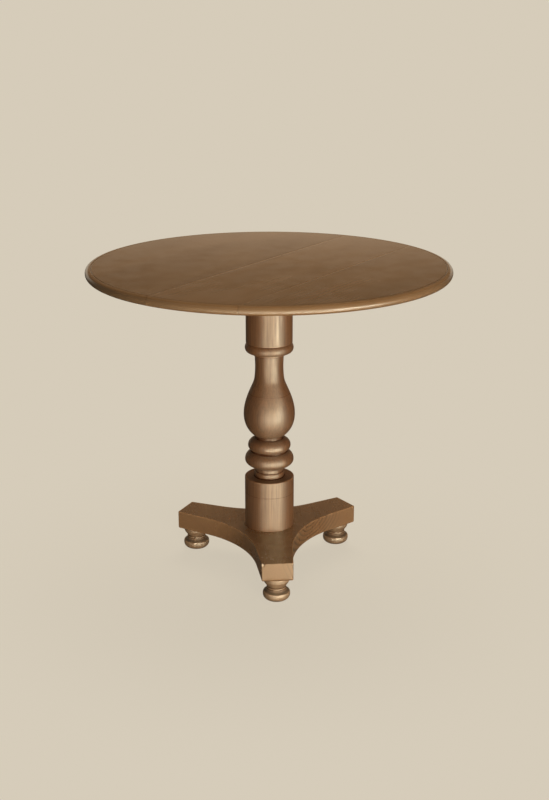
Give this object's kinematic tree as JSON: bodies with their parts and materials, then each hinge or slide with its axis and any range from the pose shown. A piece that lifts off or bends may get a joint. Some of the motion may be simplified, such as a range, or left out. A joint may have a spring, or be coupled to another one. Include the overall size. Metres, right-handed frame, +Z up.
{
  "type": "round pedestal table",
  "caption": "Round table with a board top and half-round edge on one turned vase-shaped column, a three-armed platform with hollow sides and turned bun feet.",
  "frame": {"origin": "on the floor under the column's axis", "axes": "+Z up; -Y along the front arm of the platform; +X to the right seen from the front"},
  "size_m": [0.81, 0.81, 0.72],
  "materials": {
    "top_wood": "satin",
    "turned_wood": "satin",
    "platform_wood": "satin",
    "under_wood": "unfinished",
    "peg_wood": "unfinished",
    "screw_steel": "dull"
  },
  "bodies": {
    "root": {"top_board_back": "top_wood", "top_board_middle": "top_wood", "top_board_front": "top_wood", "column": "turned_wood", "foot_front": "turned_wood", "foot_right": "turned_wood", "foot_left": "turned_wood", "platform": "platform_wood", "top_block": "under_wood", "batten_left": "under_wood", "batten_right": "under_wood", "dowel_back_1": "peg_wood", "dowel_back_2": "peg_wood", "dowel_back_3": "peg_wood", "dowel_front_1": "peg_wood", "dowel_front_2": "peg_wood", "dowel_front_3": "peg_wood", "upper_wedge": "peg_wood", "lower_wedge": "peg_wood", "block_screw_1": "screw_steel", "block_screw_2": "screw_steel", "block_screw_3": "screw_steel", "block_screw_4": "screw_steel", "batten_left_screw_1": "screw_steel", "batten_left_screw_2": "screw_steel", "batten_left_screw_3": "screw_steel", "batten_left_screw_4": "screw_steel", "batten_right_screw_1": "screw_steel", "batten_right_screw_2": "screw_steel", "batten_right_screw_3": "screw_steel", "batten_right_screw_4": "screw_steel"}
  },
  "joints": []
}
